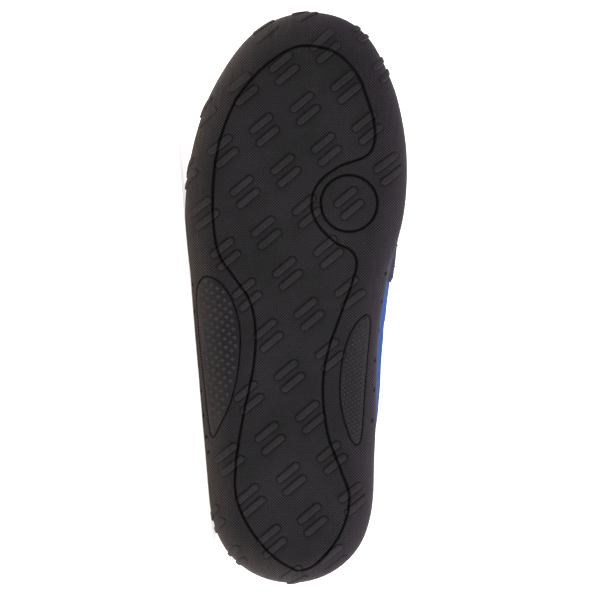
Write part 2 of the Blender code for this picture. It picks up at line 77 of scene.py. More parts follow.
LUG_SPACING = 0.0062
LUG_SLANT = 0.0026
LUG_INSET_SHARE = 0.6
LUG_WRAP_SHARE = 0.6
LUG_EDGE_CLEAR = 0.0005
RING_RADIUS = 0.0123
PANEL_CLEAR = 0.0050
THROAT_SHARE = 0.500
RIDGE_END_SHARE = 0.930
COLLAR_BACK_SHARE = 0.026
OVERLAY_BACK_SHARE = 0.528
ARCH_START_SHARE = 0.27
ARCH_END_SHARE = 0.60
ARCH_RAMP_SHARE = 0.10
SPRING_START_SHARE = 0.745
LUG_START = (0.649, 0.075)
WAIST = (0.22, 0.58)
RING_CENTRE = (0.663, 0.263)

# along, half, swing, round_in, round_up, rim, lean, swell_in, swell_out
SECTIONS = np.array([
    (0.00, 0.690, 0.000, 0.95, 1.15, 1.00, 0.06, 0.10, 0.10),
    (0.05, 0.640, 0.000, 0.95, 1.10, 0.98, 0.06, 0.30, 0.40),
    (0.12, 0.552, 0.000, 0.95, 1.05, 0.90, 0.05, 0.50, 0.64),
    (0.20, 0.473, -0.005, 1.00, 1.05, 0.74, 0.03, 0.45, 0.68),
    (0.31, 0.430, -0.013, 1.10, 1.10, 0.62, 0.01, 0.82, 0.50),
    (0.43, 0.421, -0.022, 1.15, 1.10, 0.58, 0.00, 1.18, 0.40),
    (0.54, 0.448, -0.009, 1.05, 1.00, 0.56, 0.01, 1.05, 0.15),
    (0.64, 0.513, 0.013, 1.00, 0.95, 0.56, 0.05, 0.20, 0.00),
    (0.74, 0.557, 0.033, 1.00, 0.95, 0.60, 0.10, 0.05, 0.00),
    (0.84, 0.591, 0.050, 1.10, 1.00, 0.72, 0.18, 0.05, 0.05),
    (0.93, 0.628, 0.068, 1.20, 1.05, 0.86, 0.28, 0.05, 0.05),
    (1.00, 0.710, 0.086, 1.30, 1.10, 0.94, 0.34, 0.05, 0.05),
])
HALF, SWING, ROUND_IN, ROUND_UP, RIM, LEAN, SWELL_IN, SWELL_OUT = range(1, 9)

# along, height, swing
RIDGE = np.array([
    (0.48, 1.000, 0.020), (0.56, 0.945, 0.030), (0.65, 0.860, 0.042), (0.74, 0.785, 0.052),
    (0.83, 0.715, 0.062), (0.90, 0.660, 0.070), (0.95, 0.610, 0.075),
])

# along, inner, outer, crown
COLLAR = np.array([
    (0.00, 1.000, 1.000, 0.42), (0.06, 0.993, 0.992, 0.42), (0.18, 0.930, 0.920, 0.44),
    (0.36, 0.840, 0.800, 0.50), (0.60, 0.880, 0.840, 0.62), (0.84, 1.010, 0.980, 0.85),
    (1.00, 1.086, 1.086, 1.00),
])

# Grooves and panels, as shares of SOLE_LENGTH and BALL_WIDTH
MAIN_GROOVE = [
    (0.938, 0.087), (0.926, 0.205), (0.890, 0.296), (0.848, 0.342), (0.806, 0.374), (0.768, 0.376),
    (0.744, 0.334), (0.727, 0.218), (0.698, 0.125), (0.662, 0.094), (0.627, 0.122), (0.595, 0.203),
    (0.581, 0.272), (0.557, 0.297), (0.512, 0.265), (0.455, 0.211), (0.402, 0.166), (0.340, 0.145),
    (0.264, 0.166), (0.200, 0.225), (0.155, 0.264), (0.106, 0.243), (0.062, 0.180), (0.028, 0.085),
    (0.029, 0.000), (0.062, -0.111), (0.109, -0.200), (0.160, -0.246), (0.220, -0.242), (0.296, -0.210),
    (0.375, -0.168), (0.440, -0.157), (0.493, -0.183), (0.535, -0.254), (0.574, -0.320), (0.630, -0.346),
    (0.700, -0.346), (0.770, -0.318), (0.836, -0.254), (0.893, -0.144), (0.931, -0.010),
]
OUTER_PANEL = [
    (0.536, -0.375), (0.528, -0.408), (0.501, -0.425), (0.437, -0.416), (0.348, -0.391), (0.275, -0.368),
    (0.256, -0.352), (0.267, -0.330), (0.318, -0.268), (0.382, -0.233), (0.443, -0.228), (0.492, -0.259),
    (0.525, -0.316),
]
INNER_PANEL = [
    (0.469, 0.337), (0.458, 0.357), (0.423, 0.352), (0.343, 0.335), (0.262, 0.320), (0.243, 0.300),
    (0.257, 0.266), (0.308, 0.228), (0.356, 0.222), (0.405, 0.240), (0.448, 0.284),
]
# Stitch holes along the waist's edge, in the same shares
PINHOLES = [
    (0.541, 0.426), (0.492, 0.409), (0.441, 0.395), (0.389, 0.377), (0.338, 0.374), (0.285, 0.366),
    (0.249, 0.381), (0.522, -0.444), (0.475, -0.438), (0.427, -0.431), (0.380, -0.418), (0.336, -0.406),
    (0.294, -0.395), (0.256, -0.381), (0.229, -0.372),
]

# Faint soft creases beside the groove at the heel, in the same shares
CREASES = [
    [(0.285, -0.246), (0.250, -0.2595), (0.215, -0.266), (0.180, -0.266), (0.145, -0.2595)],
    [(0.285, 0.237), (0.242, 0.2505), (0.198, 0.262)],
]

# How the standing shoe is laid down, as the CAD is: toe towards -X, sole towards -Y
TOE_DIP = 0.0869503
ROLL = 0.0148630
ORIGIN = np.array((0.12427433, -0.03570482, 0.03262312))
TURN = np.array((
    (-cos(TOE_DIP), sin(TOE_DIP) * cos(ROLL), -sin(TOE_DIP) * sin(ROLL)),
    (0.0, sin(ROLL), cos(ROLL)),
    (sin(TOE_DIP), cos(TOE_DIP) * cos(ROLL), -cos(TOE_DIP) * sin(ROLL)),
))

# Moulded relief: distance from the feature's line or edge, then lift off the rubber, in metres
LUG_PROFILE = np.array([
    (-0.50, 0.80), (-0.34, 0.785), (-0.18, 0.71), (-0.04, 0.54), (0.08, 0.18), (0.18, -0.06), (0.30, -0.22),
    (0.44, -0.17), (0.66, 0.00),
]) * MM
LUG_LOOPS = [-0.44, -0.24, -0.06, 0.08, 0.20, 0.37, 0.66]
GROOVE_PROFILE = np.array([
    (0.00, -1.02), (0.30, -1.00), (0.42, -0.80), (0.50, -0.32), (0.58, -0.09), (0.78, 0.00),
]) * MM
GROOVE_LOOPS = [0.32, 0.47, 0.59, 0.82]
THIN_PROFILE = np.array([(0.00, -0.62), (0.16, -0.58), (0.26, -0.32), (0.35, -0.07), (0.52, 0.00)]) * MM
THIN_LOOPS = [0.17, 0.31, 0.54]
HOLE_PROFILE = np.array([(0.00, -0.95), (0.46, -0.90), (0.60, -0.30), (0.76, 0.00)]) * MM
LUG_END = 1.28 * MM

# The rubber's rounded lip: how far down from the rim it starts, then each step's depth under the rim and
# distance in from the outer skin, in millimetres
LIP_ROUND = 0.9 * MM
LIP = [(0.45, 0.06), (0.12, 0.34), (0.00, 0.75), (0.00, 1.35), (0.12, 1.76), (0.50, 2.02)]

# Turns of the throat and of the overlay's rear edge, counted from the heel
THROAT_TURN = np.arccos(1 - 2 * THROAT_SHARE)
OVERLAY_TURN = np.arccos(1 - 2 * OVERLAY_BACK_SHARE)


def smooth(rows, column, at):
    """A column's values at shares of the way, on a smooth curve through the rows."""
    places, values = rows[:, 0], rows[:, column]
    slopes = np.gradient(values, places)
    at = np.clip(at, places[0], places[-1])
    k = np.clip(np.searchsorted(places, at) - 1, 0, len(rows) - 2)
    step = places[k + 1] - places[k]
    t = (at - places[k]) / step
    start = (1 + 2 * t) * (1 - t) ** 2 * values[k] + t * (1 - t) ** 2 * step * slopes[k]
    end = t * t * (3 - 2 * t) * values[k + 1] + t * t * (t - 1) * step * slopes[k + 1]
    return start + end


def ease(t):
    t = np.clip(t, 0.0, 1.0)
    return t * t * (3 - 2 * t)


def unit(vectors):
    """The rows of vectors, made one long."""
    return vectors / np.linalg.norm(vectors, axis=1)[:, None]


def run_along(path):
    """Distance along a path at each of its points."""
    return np.concatenate(([0], np.cumsum(np.linalg.norm(np.diff(path, axis=0), axis=1))))


def at_run(at, run, path):
    """Values of a path at distances along it."""
    return np.stack([np.interp(at, run, path[:, k]) for k in range(path.shape[1])], 1)


def profile_at(profile, distance):
    return np.interp(distance, profile[:, 0], profile[:, 1])


def near(distance, middle, width):
    """1 at a distance, down to 0 a width away on both sides, in millimetres."""
    return np.clip(1 - np.abs(distance - middle * MM) / (width * MM), 0, 1)


def past(distance, start, width):
    """0 up to a distance, then up to 1 over a width, in millimetres."""
    return np.clip((distance - start * MM) / (width * MM), 0, 1)


def outline(turn):
    along = (1 - np.cos(turn)) / 2
    across = smooth(SECTIONS, SWING, along) + smooth(SECTIONS, HALF, along) * np.sin(turn)
    return np.stack((SOLE_LENGTH * along, BALL_WIDTH * across), -1)


def base_height(x):
    share = x / SOLE_LENGTH
    rise = ease((share - ARCH_START_SHARE) / ARCH_RAMP_SHARE)
    fall = ease((ARCH_END_SHARE - share) / ARCH_RAMP_SHARE)
    spring = TOE_SPRING * (np.maximum(share - SPRING_START_SHARE, 0.0) / (1 - SPRING_START_SHARE)) ** 2
    return ARCH_RISE * rise * fall + spring


class Rim:
    """The sole's outline at many turns, with its inward direction, rounded edge and wall."""

    def __init__(self, turns):
        self.turns = np.asarray(turns, float)
        along = (1 - np.cos(self.turns)) / 2
        self.spot = outline(self.turns)
        run = outline(self.turns + 1e-3) - outline(self.turns - 1e-3)
        self.inward = unit(np.stack((run[:, 1], -run[:, 0]), -1))
        self.round_in = EDGE_ROUND * smooth(SECTIONS, ROUND_IN, along)
        self.round_up = EDGE_HEIGHT * smooth(SECTIONS, ROUND_UP, along)
        self.rim = HEEL_RIM * smooth(SECTIONS, RIM, along)
        self.lean = smooth(SECTIONS, LEAN, along)
        self.curve = pi / 2 * np.sqrt((self.round_in**2 + self.round_up**2) / 2)

    def wall_inset(self, up):
        low = self.round_in * (1 - np.sqrt(np.maximum(1 - (1 - np.minimum(up / self.round_up, 1)) ** 2, 0)))
        return np.where(up < self.round_up, low, self.lean * (up - self.round_up))

    def skin_at(self, up, inset):
        spot = self.spot + self.inward * np.asarray(inset)[..., None]
        return np.column_stack((spot, base_height(spot[:, 0]) + up))


FINE = 14400
STRIDE = 20
BLOCK = 4000
EDGE = Rim(np.linspace(0, 2 * pi, FINE, endpoint=False))
# How far inside the laid-out outline the outer skin ends, under the lip
SKIN_END = EDGE.round_in - EDGE.curve - (EDGE.rim - LIP_ROUND - EDGE.round_up)


def nearest(points):
    """(closest outline sample, distance inside the outline) for each laid-out spot."""
    best = np.empty(len(points), int)
    coarse = EDGE.spot[::STRIDE]
    for start in range(0, len(points), BLOCK):
        block = points[start : start + BLOCK]
        gap = ((block[:, None] - coarse[None]) ** 2).sum(2)
        fine = (gap.argmin(1)[:, None] * STRIDE + np.arange(-STRIDE, STRIDE + 1)) % FINE
        gap = ((EDGE.spot[fine] - block[:, None]) ** 2).sum(2)
        best[start : start + BLOCK] = fine[np.arange(len(block)), gap.argmin(1)]
    return best, ((points - EDGE.spot[best]) * EDGE.inward[best]).sum(1)


def unrolled(points):
    """Spots of the plan, laid out so that lengths on the rounded edge stay true."""
    k, inside = nearest(points)
    round_in = EDGE.round_in[k]
    angle = np.arcsin(1 - np.clip(inside, 0, round_in) / round_in)
    foot = points - inside[:, None] * EDGE.inward[k]
    moved = foot + EDGE.inward[k] * (round_in - EDGE.curve[k] * angle * 2 / pi)[:, None]
    return np.where((inside >= round_in)[:, None], points, moved)


def tread_points(points, lift):
    """(points of the rubber's outer skin at laid-out spots, lifted outwards; share of the way round the
    edge)."""
    k, inside = nearest(points)
    foot = points - inside[:, None] * EDGE.inward[k]
    round_in, round_up, lean, curve = EDGE.round_in[k], EDGE.round_up[k], EDGE.lean[k], EDGE.curve[k]
    angle = (round_in - inside) / curve * pi / 2
    turn = np.clip(angle, 0, pi / 2)
    extra = np.maximum(round_in - curve - inside, 0)
    inset = np.where(angle <= 0, inside, round_in * (1 - np.sin(turn)) + lean * extra)
    up = np.where(angle <= 0, 0, round_up * (1 - np.cos(turn)) + extra)
    out = np.where(angle < pi / 2, round_up * np.sin(turn), 1.0)
    down = np.where(angle < pi / 2, round_in * np.cos(turn), -lean)
    size = np.hypot(out, down)
    spot = foot + EDGE.inward[k] * (inset - lift * out / size)[:, None]
    height = base_height(spot[:, 0]) + up - lift * down / size
    return np.column_stack((spot, height)), np.clip(angle / (pi / 2), 0, 1.5)


def laid_down(points):
    return np.asarray(points) @ TURN.T + ORIGIN


def above_floor(points, clear=0.05 * MM):
    """Laid-down points, with those that would dip under the floor pressed flat on it."""
    placed = laid_down(points)
    placed[..., 2] = np.maximum(placed[..., 2], clear)
    return placed


def plan(shares):
    """Spots of the plan, from shares of the sole's length and the ball's width."""
    return np.array(shares, float).reshape(-1, 2) * (SOLE_LENGTH, BALL_WIDTH)


def resampled(path, step, closed=True):
    """Points at even distances along a path."""
    path = np.vstack((path, path[:1])) if closed else path
    run = run_along(path)
    count = max(int(round(run[-1] / step)), 3)
    return at_run(np.linspace(0, run[-1], count, endpoint=not closed), run, path)


def closed_curve(shares, step):
    """A smooth closed curve through spots of the plan, laid out."""
    p1 = unrolled(plan(shares))
    p0, p2, p3 = np.roll(p1, 1, 0), np.roll(p1, -1, 0), np.roll(p1, -2, 0)
    parts = []
    for t in np.linspace(0, 1, 16, endpoint=False):
        start = (-t + 2 * t**2 - t**3) * p0 + (2 - 5 * t**2 + 3 * t**3) * p1
        end = (t + 4 * t**2 - 3 * t**3) * p2 + (-(t**2) + t**3) * p3
        parts.append(start / 2 + end / 2)
    return resampled(np.stack(parts, 1).reshape(-1, 2), step)


def line_distance(points, path, closed=True):
    """Distance of each point from a path."""
    ends = np.roll(path, -1, 0) if closed else path[1:]
    starts = path if closed else path[:-1]
    run = ends - starts
    length2 = np.maximum((run**2).sum(1), 1e-18)
    found = np.empty(len(points))
    for start in range(0, len(points), BLOCK):
        block = points[start : start + BLOCK]
        away = block[:, None] - starts[None]
        t = np.clip((away * run).sum(2) / length2, 0, 1)
        found[start : start + BLOCK] = np.sqrt(((away - t[..., None] * run) ** 2).sum(2).min(1))
    return found


def inside_curve(points, path):
    ends = np.roll(path, -1, 0)
    above = path[None, :, 1] > points[:, None, 1]
    crosses = above != (ends[None, :, 1] > points[:, None, 1])
    rise = np.where(ends[:, 1] == path[:, 1], 1e-12, ends[:, 1] - path[:, 1])
    at = path[:, 0] + (ends[:, 0] - path[:, 0]) * (points[:, None, 1] - path[:, 1]) / rise
    return (crosses & (points[:, None, 0] < at)).sum(1) % 2 == 1


def offset_path(path, by, closed=True):
    """A path moved to its right by a distance."""
    run = np.roll(path, -1, 0) - np.roll(path, 1, 0) if closed else np.gradient(path, axis=0)
    side = np.stack((run[:, 1], -run[:, 0]), 1)
    return path + unit(side) * by


def circle(centre, radius, count):
    turns = np.linspace(0, 2 * pi, count, endpoint=False)
    return centre + radius * np.stack((np.cos(turns), np.sin(turns)), 1)


GROOVE_STEP = 0.85 * MM
MAIN = closed_curve(MAIN_GROOVE, GROOVE_STEP)
OUTER = closed_curve(OUTER_PANEL, GROOVE_STEP)
INNER = closed_curve(INNER_PANEL, GROOVE_STEP)
RING = circle(plan(RING_CENTRE), RING_RADIUS, 96)
HOLES = unrolled(plan(PINHOLES))
FOLDS = [resampled(plan(path), 1.2 * MM, closed=False) for path in CREASES]


def lug_bars():
    """(start, end) of each bar of the tread's lugs, on the same turned grid as the CAD's."""
    way = np.array((sin(LUG_GRID_TURN), cos(LUG_GRID_TURN)))
    across = np.array((cos(LUG_GRID_TURN), -sin(LUG_GRID_TURN)))
    reach = int(SOLE_LENGTH / LUG_PITCH)
    steps = np.arange(-reach, reach + 1)
    i, j = np.meshgrid(steps, steps)
    spots = plan(LUG_START) + LUG_PITCH * (j.reshape(-1, 1) * way + i.reshape(-1, 1) * across)
    k, inside = nearest(spots)
    share = spots[:, 0] / SOLE_LENGTH
    waist = (WAIST[0] < share) & (share < WAIST[1])
    wrapped = np.where(waist, 0, EDGE.curve[k] * LUG_WRAP_SHARE)
    kept = inside > EDGE.round_in[k] * LUG_INSET_SHARE - wrapped + LUG_EDGE_CLEAR
    for panel in (OUTER, INNER):
        kept &= ~inside_curve(spots, panel) & (line_distance(spots, panel) >= PANEL_CLEAR)
    ring_centre = plan(RING_CENTRE)[0]
    kept &= np.linalg.norm(spots - ring_centre, axis=1) >= RING_RADIUS + LUG_BAR
    spots = np.vstack((ring_centre, spots[kept]))
    bars = []
    for middle in (-LUG_SPACING / 2, LUG_SPACING / 2):
        first, last = (
            spots + way * LUG_LENGTH / 2 * end + across * (middle + end * LUG_SLANT / 2) for end in (-1, 1)
        )
        run = unit(last - first)
        bars.append(np.stack((first + run * LUG_END, last - run * LUG_END), 1))
    return np.concatenate(bars)


BARS = lug_bars()


def bar_distance(points):
    """Signed distance from the closest bar's edge, negative on the bar."""
    found = np.full(len(points), 1.0)
    for first, last in BARS:
        run = last - first
        t = np.clip((points - first) @ run / (run @ run), 0, 1)
        found = np.minimum(found, np.linalg.norm(points - first - t[:, None] * run, axis=1) - LUG_END)
    return found


def pips(path, pitch, tilt, clear):
    """A staggered field of spots inside a panel."""
    low, high = path.min(0), path.max(0)
    middle, reach = (low + high) / 2, np.linalg.norm(high - low) / 2
    steps = np.arange(-int(reach / pitch) - 2, int(reach / pitch) + 3)
    i, j = np.meshgrid(steps, steps)
    across, along = np.array((cos(tilt), sin(tilt))), np.array((-sin(tilt), cos(tilt)))
    shift = (j % 2) * 0.5
    spots = middle + ((i + shift).reshape(-1, 1) * across + j.reshape(-1, 1) * 0.58 * along) * pitch
    kept = inside_curve(spots, path) & (line_distance(spots, path) > clear)
    return spots[kept]


OUTER_PIPS = pips(OUTER, 3.70 * MM, radians(-8), 1.45 * MM)
INNER_PIPS = pips(INNER, 2.00 * MM, radians(8), 1.05 * MM)
PIP_OUTER = np.array([(0.00, 0.50), (0.72, 0.44), (1.22, 0.00)]) * MM
PIP_INNER = np.array([(0.00, 0.32), (0.36, 0.29), (0.62, 0.00)]) * MM


def pip_lift(points, spots, profile):
    """Lift of small square pyramids that stand on a corner."""
    lift = np.zeros(len(points))
    for spot in spots:
        gap = np.abs(points - spot).sum(1)
        lift = np.maximum(lift, profile_at(profile, gap))
    return lift


def relief(points):
    """(lift, hatch, depth, highlight) of the moulded skin at laid-out spots: how far it stands out, how much
    of the fine cross-hatch it carries, how much painted shade it gets, most in grooves, lug outlines and
    stitch holes, and how much painted highlight its lug rims and pips get."""
    bar = bar_distance(points)
    k, inside = nearest(points)
    on_edge = ease(np.clip((EDGE.round_in[k] - inside) / EDGE.curve[k], 0, 1) * 1.5)
    lift = profile_at(LUG_PROFILE, bar) * (1 - 0.15 * on_edge)
    # Painted highlight: strongest along the rim of each lug's top, weaker over the top
    painted_highlight = np.maximum(0.20 * past(-bar, 0, 0.3), 0.80 * near(bar, -0.12, 0.20))
    hatch = past(bar, 0.45, 0.4)
    # Painted shade in the moat round each lug, less on the rounded edge
    depth = 0.95 * near(bar, 0.22, 0.24) * (1 - 0.7 * on_edge)
    wide = np.minimum(line_distance(points, MAIN), line_distance(points, RING))
    thin = np.minimum(line_distance(points, OUTER), line_distance(points, INNER))
    lift += profile_at(GROOVE_PROFILE, wide)
    lift += profile_at(THIN_PROFILE, thin)
    # Painted shade in the grooves
    depth = np.maximum(depth, 1 - past(wide, 0.42, 0.16))
    depth = np.maximum(depth, 0.9 * (1 - past(thin, 0.22, 0.14)))
    hatch *= past(wide, 0.6, 0.2)
    panel = inside_curve(points, OUTER) | inside_curve(points, INNER)
    hatch = np.where(panel, 0, hatch)
    pip = pip_lift(points, OUTER_PIPS, PIP_OUTER) + pip_lift(points, INNER_PIPS, PIP_INNER)
    lift += pip
    # Painted highlight on the raised pips
    painted_highlight = np.maximum(painted_highlight, past(pip, 0, 0.30))
    for fold in FOLDS:
        lift -= 0.16 * MM * np.exp(-((line_distance(points, fold, closed=False) / (0.55 * MM)) ** 2))
    for hole in HOLES:
        gap = np.linalg.norm(points - hole, axis=1)
        lift += profile_at(HOLE_PROFILE, gap)
        # Painted shade in the stitch holes
        depth = np.maximum(depth, 1 - past(gap, 0.72, 0.16))
    return lift, hatch, depth, painted_highlight


def around_bar(first, last, radius):
    """A closed loop at a distance round a bar's middle line."""
    run = (last - first) / np.linalg.norm(last - first)
    side = np.array((run[1], -run[0]))
    turns = np.linspace(-pi / 2, pi / 2, 9)[:, None]
    cap = radius * (np.cos(turns) * run - np.sin(turns) * side)
    return resampled(np.vstack((last + cap, first - cap)), 0.75 * MM if radius > LUG_END else 0.6 * MM)


def rubber_skin():
    """(laid-out spots, triangles) of the rubber's whole outer skin, cut along every edge of its relief."""
    border = resampled(EDGE.spot + EDGE.inward * SKIN_END[:, None], 1.05 * MM)
    loops = [border]
    wide, thin = GROOVE_LOOPS, THIN_LOOPS
    for path, offsets in ((MAIN, wide), (RING, wide), (OUTER, thin), (INNER, thin)):
        loops.append(path)
        loops += [offset_path(path, way * by * MM) for by in offsets for way in (-1, 1)]
    for first, last in BARS:
        loops += [around_bar(first, last, LUG_END + by * MM) for by in LUG_LOOPS]
    for hole in HOLES:
        loops += [circle(hole, 0.48 * MM, 8), circle(hole, 0.77 * MM, 10)]
    for fold in FOLDS:
        for by in (0.15, 0.50, 0.95):
            sides = [offset_path(fold, way * by * MM, closed=False)[::way] for way in (1, -1)]
            loops.append(resampled(np.vstack(sides), 1.2 * MM))
    for spots, profile in ((OUTER_PIPS, PIP_OUTER), (INNER_PIPS, PIP_INNER)):
        for spot in spots:
            loops += [circle(spot, profile[k, 0], 4) for k in (1, 2)]
    points = np.vstack(loops)
    edges, start = [], 0
    for loop in loops:
        edges += [(start + k, start + (k + 1) % len(loop)) for k in range(len(loop))]
        start += len(loop)
    grids = []
    for pitch, on_edge in ((2.3 * MM, False), (1.2 * MM, True)):
        low, high = border.min(0), border.max(0)
        xs = np.arange(low[0], high[0], pitch)
        ys = np.arange(low[1], high[1], pitch * sqrt(3) / 2)
        grid = np.array([(x + (row % 2) * pitch / 2, y) for row, y in enumerate(ys) for x in xs])
        k, inside = nearest(grid)
        curved = inside < EDGE.round_in[k] + 1.5 * MM
        room = inside > SKIN_END[k] + 0.8 * MM
        grid = grid[room & (curved if on_edge else ~curved)]
        clear = bar_distance(grid) > 1.15 * MM
        for path in (MAIN, RING, OUTER, INNER):
            clear &= line_distance(grid, path) > 1.35 * MM
        for path in (OUTER, INNER):
            clear &= ~inside_curve(grid, path)
        for fold in FOLDS:
            clear &= line_distance(grid, fold, closed=False) > 1.4 * MM
        for hole in HOLES:
            clear &= np.linalg.norm(grid - hole, axis=1) > 0.9 * MM
        grids.append(grid[clear])
    points = np.vstack((points, *grids))
    found = delaunay_2d_cdt([Vector(p) for p in points / MM], edges, [], 1, 1e-4)
    return np.array([tuple(v) for v in found[0]]) * MM, [tuple(face) for face in found[2]]


def finish_mesh(name, bm, materials, smooth_shading=True, closed=True):
    """An object in the scene, with the faces of a closed mesh turned outwards."""
    if closed:
        bmesh.ops.recalc_face_normals(bm, faces=bm.faces)
    mesh = bpy.data.meshes.new(name)
    bm.to_mesh(mesh)
    bm.free()
    made = bpy.data.objects.new(name, mesh)
    bpy.context.scene.collection.objects.link(made)
    for material in materials:
        mesh.materials.append(material)
    if smooth_shading:
        mesh.shade_smooth()
    return made


def close_rings(bm, low, high):
    """Faces between two closed rings with as many vertices."""
    for n in range(len(low)):
        m = (n + 1) % len(low)
        bm.faces.new((low[n], low[m], high[m], high[n]))


def put_values(mesh, name, values):
    """Values at a mesh's points, for its material."""
    kind = "FLOAT_VECTOR" if values.ndim == 2 else "FLOAT"
    attribute = mesh.attributes.new(name, kind, "POINT")
    attribute.data.foreach_set("vector" if values.ndim == 2 else "value", values.astype(np.float32).ravel())


def build_outsole(materials):
    """The moulded rubber: its outer skin with all relief, then the lip, the inside wall and the floor."""
    spots, faces = rubber_skin()
    lift, hatch, depth, painted_highlight = relief(spots)
    k, inside = nearest(spots)
    lift = np.where(inside < SKIN_END[k] + 0.02 * MM, 0, lift)
    standing, edge = tread_points(spots, lift)
    bm = bmesh.new()
    verts = [bm.verts.new(p) for p in above_floor(standing)]
    for face in faces:
        bm.faces.new([verts[i] for i in reversed(face)])
    bm.verts.index_update()
    flats = [np.column_stack((spots, lift))]
    rim_edges = [e for e in bm.edges if len(e.link_faces) == 1]
    after = {}
    for e in rim_edges:
        loop = e.link_loops[0]
        after[loop.vert] = loop.link_loop_next.vert
    first = rim_edges[0].link_loops[0].vert
    ring = [first]
    while after[ring[-1]] is not first:
        ring.append(after[ring[-1]])
    rim = Rim(EDGE.turns[[k[v.index] for v in ring]])
    floor = SOLE_THICKNESS + 0 * rim.rim
    inside_wall = (rim.rim - 1.4 * MM, rim.round_up, (rim.round_up + SOLE_THICKNESS) / 2, floor)
    levels = [(rim.rim - down * MM, rim.wall_inset(rim.rim) + into * MM) for down, into in LIP]
    levels += [(up, rim.wall_inset(up) + RUBBER_WALL) for up in inside_wall]
    previous = ring
    for up, inset in levels:
        placed = [bm.verts.new(p) for p in above_floor(rim.skin_at(up, inset))]
        close_rings(bm, placed, previous)
        previous = placed
        spot = rim.spot - rim.inward * (up - rim.round_up + rim.curve - rim.round_in)[:, None]
        flats.append(np.column_stack((spot, 0 * up)))
    floor_face = bm.faces.new(previous[::-1])
    bmesh.ops.triangulate(bm, faces=[floor_face])
    made = finish_mesh("rubber_sole", bm, materials)
    put_values(made.data, "flat", np.vstack(flats))
    below = np.zeros(len(levels) * len(ring))
    # Values for the material: the hatch, the painted shade in grooves, lug outlines and holes, and the
    # painted highlight on lug rims and pips
    for name, values in (("hatch", hatch), ("depth", depth), ("painted_highlight", painted_highlight)):
        put_values(made.data, name, np.concatenate((values, below)))
    put_values(made.data, "edge", np.concatenate((edge, below + 1.2)))
    return made


# The upper's skin, as in the CAD, on many more stations and with its steps smoothed
def top_point(turn):
    """(where a station's curve ends, how much of a quarter turn its crown makes)."""
    from_heel = min(turn, 2 * pi - turn)

    def ridge_point(along):
        across = BALL_WIDTH * smooth(RIDGE, 2, along)
        return np.array((SOLE_LENGTH * along, across, INSTEP_HEIGHT * smooth(RIDGE, 1, along)))

    if from_heel >= THROAT_TURN - 1e-3:
        share = sin((from_heel - THROAT_TURN) / (pi - THROAT_TURN) * pi / 2)
        return ridge_point(THROAT_SHARE + (RIDGE_END_SHARE - THROAT_SHARE) * share), 1.0
    share = from_heel / THROAT_TURN
    front = ridge_point(THROAT_SHARE)
    side, column = (1, 1) if turn < pi else (-1, 2)
    back = SOLE_LENGTH * COLLAR_BACK_SHARE
    return np.array((
        back + (front[0] - back) * (1 - cos(pi * share)) / 2,
        front[1] * ease(share) + side * COLLAR_WIDTH / 2 * sin(pi * share),
        HEEL_HEIGHT * smooth(COLLAR, column, share) * (1 - ease(share)) + front[2] * ease(share),
    )), float(smooth(COLLAR, 3, share))


# Rows of the upper's grid, from the cup's floor to the top
RIM_ROW = 3
BLEND_ROWS = 7
CROWN_ROWS = 26
SKIN_ROWS = RIM_ROW + 1 + BLEND_ROWS + CROWN_ROWS
RIDGE_FADE_ROWS = 9


def skin_curve(n, rim):
    """Points of the upper's outer skin at station n of a rim, from the cup's floor to the top."""
    turn = rim.turns[n]
    spot, inward = rim.spot[n], rim.inward[n]
    fit = RUBBER_WALL + FIT_GAP

    def wall(up):
        inset = float(rim.wall_inset(np.full(len(rim.turns), up))[n]) + fit
        place = spot + inward * inset
        return np.array((place[0], place[1], base_height(place[0]) + up))

    points = [wall(SOLE_THICKNESS), wall(rim.round_up[n]), wall(rim.rim[n]), wall(rim.rim[n] + LIP_CLEAR)]
    points[0][2] += SEAT_GAP
    top, share = top_point(turn)
    column = SWELL_IN if turn <= pi else SWELL_OUT
    swell = UPPER_SWELL * float(smooth(SECTIONS, column, (1 - cos(turn)) / 2))
    side = float(rim.wall_inset(rim.rim)[n]) + fit - swell
    shoulder = points[3][2] + min((top[2] - points[3][2]) * SHOULDER_SHARE, SHOULDER_RISE)

    def crown(angle):
        reach = (1 - cos(angle)) / (1 - cos(pi / 2 * share))
        rise = sin(angle) / sin(pi / 2 * share)
        place = spot + inward * side * (1 - reach) + (top[:2] - spot) * reach
        return np.array((place[0], place[1], shoulder + (top[2] - shoulder) * rise))

    begin = 0.16 * pi / 2 * share
    start, end = points[3], crown(begin)
    gap = np.linalg.norm(end - start)
    leave = points[3] - points[2]
    leave = leave / np.linalg.norm(leave) * gap
    arrive = crown(begin + 1e-4) - end
    arrive = arrive / np.linalg.norm(arrive) * gap
    for k in range(1, BLEND_ROWS):
        t = k / BLEND_ROWS
        points.append(
            (1 + 2 * t) * (1 - t) ** 2 * start + t * (1 - t) ** 2 * leave
            + t * t * (3 - 2 * t) * end + t * t * (t - 1) * arrive
        )
    for k in range(CROWN_ROWS + 1):
        points.append(crown(begin + (pi / 2 * share - begin) * k / CROWN_ROWS))
    return np.array(points)


def grid_normals(grid):
    """Outward normals of a closed grid of points, by station and row."""
    normal = np.cross(np.roll(grid, -1, 0) - np.roll(grid, 1, 0), np.gradient(grid, axis=1))
    size = np.linalg.norm(normal, axis=2, keepdims=True)
    return -normal / np.maximum(size, 1e-12)


def on_side(grid, along, reach, height, rise):
    """1 at a place on the big-toe side, fading along the shoe and over its height, in millimetres."""
    side = np.exp(-(((grid[..., 0] - along * MM) / (reach * MM)) ** 2)) * (grid[..., 1] > 0)
    return side * np.exp(-(((grid[..., 2] - height * MM) / (rise * MM)) ** 2))


